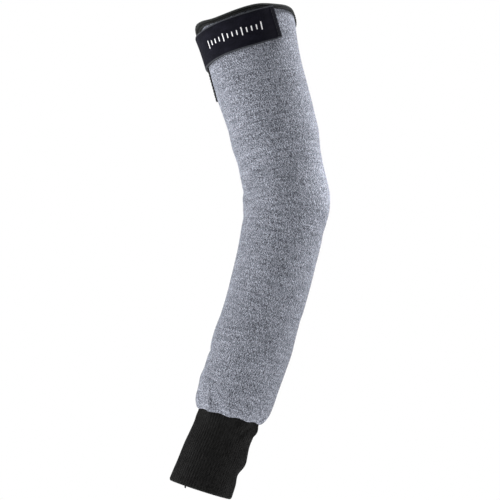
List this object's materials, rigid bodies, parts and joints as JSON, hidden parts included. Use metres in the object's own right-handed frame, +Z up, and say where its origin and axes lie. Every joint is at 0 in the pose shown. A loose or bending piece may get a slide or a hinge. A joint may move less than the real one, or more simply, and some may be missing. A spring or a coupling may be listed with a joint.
{
  "type": "cut resistant sleeve",
  "caption": "Knitted work sleeve for a bent arm, hollow, with a rib knit cuff, a bound rim and slit, and a hook and loop strap that closes the slit.",
  "frame": {"origin": "middle of the upper arm opening, on the line of the arm and in the plane of the rim, where the worn sleeve is held up", "axes": "+Z up, with the arm hanging down from the origin; +X towards the outer side of the elbow; -Y towards the front, where the strap's free end lies"},
  "size_m": [0.1459, 0.0838, 0.447],
  "materials": {
    "grey_knit": "matt marl knit",
    "black_rib_knit": "matt rib knit",
    "black_binding_tape": "matt woven tape",
    "black_strap_tape": "matt brushed tape",
    "black_loop_pile": "matt loop pile"
  },
  "bodies": {
    "root": {"sleeve_tube": "grey_knit", "wrist_cuff": "black_rib_knit", "edge_binding": "black_binding_tape", "closure_strap": "black_strap_tape", "loop_pad": "black_loop_pile"}
  },
  "joints": []
}
